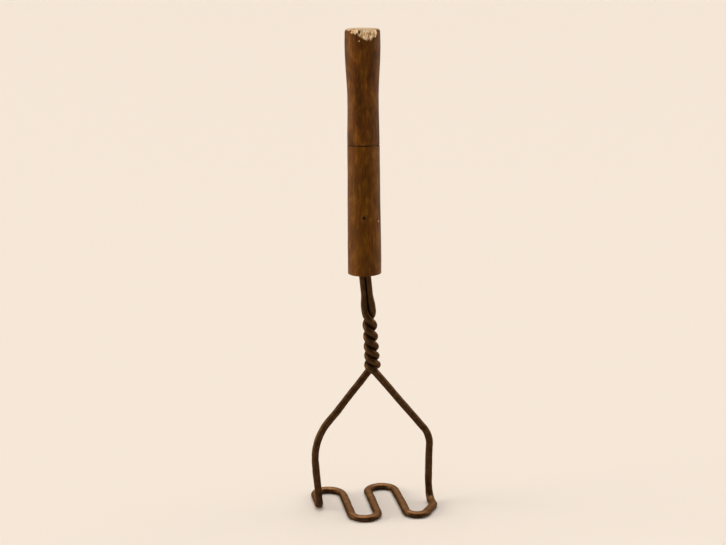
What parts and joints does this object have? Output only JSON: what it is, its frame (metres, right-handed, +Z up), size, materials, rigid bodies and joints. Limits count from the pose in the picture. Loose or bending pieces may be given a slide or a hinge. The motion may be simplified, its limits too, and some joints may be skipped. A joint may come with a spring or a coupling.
{
  "type": "potato masher",
  "caption": "Hand-made masher: a turned wooden grip on a twisted iron bar that parts into two legs and a flat serpentine mashing foot.",
  "frame": {"origin": "on the surface it stands on, below the middle of the mashing foot", "axes": "+Z up along the grip, +X from the left leg to the right leg as seen from the front, -Y towards the front, where the cross nail's head is"},
  "size_m": [0.1019, 0.0708, 0.3879],
  "materials": {
    "turned_hardwood": "dark hand-worn patina over turned hardwood, pale where the top rim is chipped",
    "forged_iron": "dark brown oxide on forged iron bar, burnished on the foot",
    "nail_iron": "dark rusted nail head"
  },
  "bodies": {
    "root": {"grip": "turned_hardwood", "wire_frame": "forged_iron", "cross_nail": "nail_iron"}
  },
  "joints": []
}
